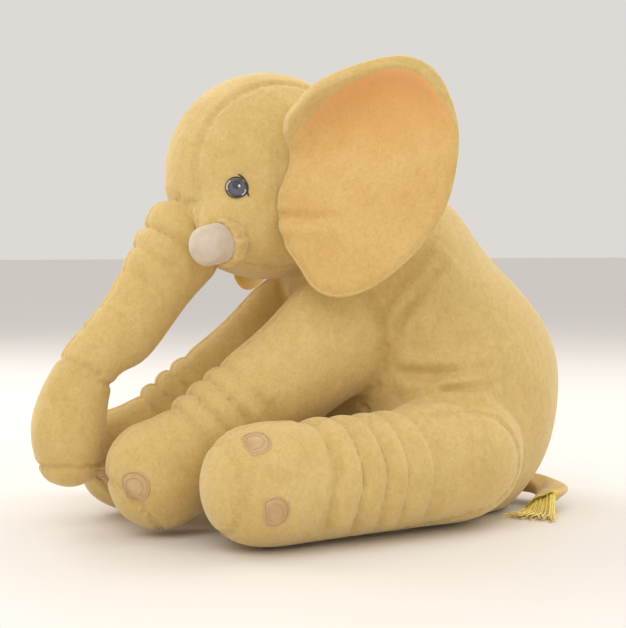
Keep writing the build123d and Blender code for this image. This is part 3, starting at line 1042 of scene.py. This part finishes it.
def tail():
    """A flat padded strap, a bright lining at its open end, and a loose tuft of yarn."""
    co = node_points("tail_filling")
    root = np.array(JOINT_POINT["tail"])
    end = co[np.argmax(co[:, 0] - co[:, 1])] * (1, 1, 0) + (0, 0, 0.013)
    bend = np.array((0.036, 0.109, 0.018))
    centre = smooth_path([root, bend, (bend + end) / 2 + (0.004, 0.012, 0), end], 14)
    tangent = np.gradient(centre, axis=0)
    tangent /= np.linalg.norm(tangent, axis=1, keepdims=True)
    segments, rings = 40, []
    for i, (place, along) in enumerate(zip(centre, tangent)):
        share = i / (len(centre) - 1)
        across = np.cross((0, 0, 1), along)
        across /= np.linalg.norm(across)
        up = np.cross(along, across)
        roll = math.radians(STRAP_ROLL) * share ** 1.5
        wide = across * math.cos(roll) + up * math.sin(roll)
        thin = up * math.cos(roll) - across * math.sin(roll)
        half = STRAP_HALF_WIDTH * (0.82 + 0.22 * share ** 2)
        deep = STRAP_HALF_THICKNESS * (1.15 - 0.55 * share ** 3) * (1 + 0.10 * math.sin(9 * share))
        for k in range(segments):
            t = math.tau * k / segments
            x = math.copysign(abs(math.cos(t)) ** 0.8, math.cos(t))
            y = math.sin(t) * (1 - 0.22 * math.cos(3 * math.pi * x * 0.5 + 4 * share) * share)
            rings.append(place + wide * half * x + thin * deep * y)
    rings = np.array(rings)
    rings[:, 2] = np.maximum(rings[:, 2], 3 * FLOOR_CLEARANCE)
    strap = smooth_shaded(new_object("tail_strap", rings, wall(len(centre), segments)))
    last = rings[-segments:]
    middle = last.mean(0)
    along = tangent[-1]
    mouth = [middle + (last - middle) * size - along * depth for size, depth in LINING_MOUTH]
    lining_points = np.concatenate(mouth)
    lining_points[:, 2] = np.maximum(lining_points[:, 2], 2 * FLOOR_CLEARANCE)
    lining = smooth_shaded(new_object("tail_lining", lining_points, wall(len(LINING_MOUTH), segments)))
    order = np.argsort((last - middle) @ (last[0] - middle))
    low_edge, high_edge = last[order[0]], last[order[-1]]
    random = np.random.default_rng(7)
    points, faces = [], []
    stops = np.linspace(0, 1, 12)
    for index in range(YARN_COUNT):
        across_share = (index + 0.5 * random.random()) / YARN_COUNT
        start = low_edge + (high_edge - low_edge) * (0.06 + 0.88 * across_share) + random.normal(0, 0.0012, 3)
        lean = (across_share - 0.35) * 0.6 + random.normal(0, 0.12)
        level = along * (1, 1, 0)
        beside = np.array((-level[1], level[0], 0))
        length = YARN_LENGTH * (0.75 + 0.35 * random.random())
        heading = level + beside * lean
        heading /= np.linalg.norm(heading)
        rest_height = 0.0010 + 0.004 * random.random()
        phase, wave_size = 6 * random.random(), 0.0012 + 0.0018 * random.random()
        line = []
        for t in stops:
            sway = wave_size * math.sin(5 * t + phase) * t
            drop = start[2] + (rest_height - start[2]) * float(step(0.0, 0.55, t))
            line.append(start * (1, 1, 0) + heading * length * t + beside * sway + (0, 0, max(drop, 0.001)))
        points, faces = tube(points, faces, np.array(line), YARN_RADIUS)
    tuft = smooth_shaded(new_object("tail_yarn_tuft", points, faces))
    given(strap, PLUSH)
    given(lining, YARN_LINING)
    given(tuft, YARN)
    start, end = root + tangent[0] * 0.004, root + tangent[0] * 0.032
    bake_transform(strap)
    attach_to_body(lining, "tail")
    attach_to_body(tuft, "tail")
    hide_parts("tail_cover", "tail_filling")
    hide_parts("tail_tuft")


def tube(points, faces, line, radius, sides=6):
    """Adds one strand, tapering at its end, to lists of points and faces."""
    tangent = np.gradient(line, axis=0)
    first = len(points)
    for i, (place, along) in enumerate(zip(line, tangent)):
        along = along / np.linalg.norm(along)
        across = np.cross(along, (0, 0, 1))
        across /= max(np.linalg.norm(across), 1e-9)
        up = np.cross(across, along)
        size = radius * (1 - 0.45 * (i / (len(line) - 1)) ** 3)
        for k in range(sides):
            t = math.tau * k / sides
            points.append(place + (across * math.cos(t) + up * math.sin(t)) * size)
    faces += wall(len(line), sides, first)
    faces.append(tuple(first + k for k in range(sides)))
    faces.append(tuple(first + (len(line) - 1) * sides + k for k in reversed(range(sides))))
    return points, faces


for hand in SIDES:
    eye(hand)
    tusk(hand)
    ear(hand)
    toenails("foreleg", hand)
    toenails("hindleg", hand)
tail()


# ---- studio ----
CAMERA_AZIMUTH = 68         # degrees from the front of the toy
CAMERA_HEIGHT = 0.262
CAMERA_DISTANCE = 1.5
CAMERA_ASIDE = 0.115
CAMERA_PITCH = 2.66         # degrees below level
LENS = 85.1
FLOOR_HALF_SIZE = 25.0


def camera():
    turn = math.radians(CAMERA_AZIMUTH)
    right = Vector((math.cos(turn), math.sin(turn), 0))
    away = Vector((-math.sin(turn), math.cos(turn), 0))
    data = bpy.data.cameras.new("camera")
    data.lens = LENS
    data.sensor_width = 36
    made = linked("camera", data)
    made.location = -CAMERA_DISTANCE * away - CAMERA_ASIDE * right + Vector((0, 0, CAMERA_HEIGHT))
    made.rotation_euler = (math.radians(90 - CAMERA_PITCH), 0, turn)
    bpy.context.scene.camera = made


def area_light(name, azimuth, elevation, distance, size, power, colour):
    """Soft box at a direction from the object, aimed at its middle."""
    turn, lift = math.radians(azimuth), math.radians(elevation)
    middle = Vector((0, -0.1, 0.2))
    towards = Vector((math.sin(turn) * math.cos(lift), -math.cos(turn) * math.cos(lift), math.sin(lift)))
    data = bpy.data.lights.new(name, "AREA")
    data.size = size
    data.energy = power
    data.color = colour
    made = linked(name, data)
    made.location = middle + towards * distance
    made.rotation_euler = (-towards).to_track_quat("-Z", "Y").to_euler()


def floor():
    corners = [(x * FLOOR_HALF_SIZE, y * FLOOR_HALF_SIZE, 0) for x, y in ((-1, -1), (1, -1), (1, 1), (-1, 1))]
    made = new_object("floor", corners, [(0, 1, 2, 3)])
    made.data.materials.append(studio_surface("floor", (0.82, 0.79, 0.76), 0.5))


camera()
floor()
area_light("key", 40, 45, 2.2, 1.6, 14.5, (1, 0.98, 0.95))
area_light("back_left", -60, 35, 2.2, 1.6, 24, (1, 0.97, 0.92))
area_light("back_right", 190, 40, 2.2, 1.4, 20, (1, 0.97, 0.92))
area_light("fill", 110, 20, 2.6, 2, 5, (1, 0.97, 0.93))
world = bpy.data.worlds.new("studio")
world.use_nodes = True
sky = world.node_tree.nodes["Background"].inputs
sky["Color"].default_value = (1.0, 0.97, 0.93, 1)
sky["Strength"].default_value = 0.72
bpy.context.scene.view_settings.view_transform = "Standard"
bpy.context.scene.world = world
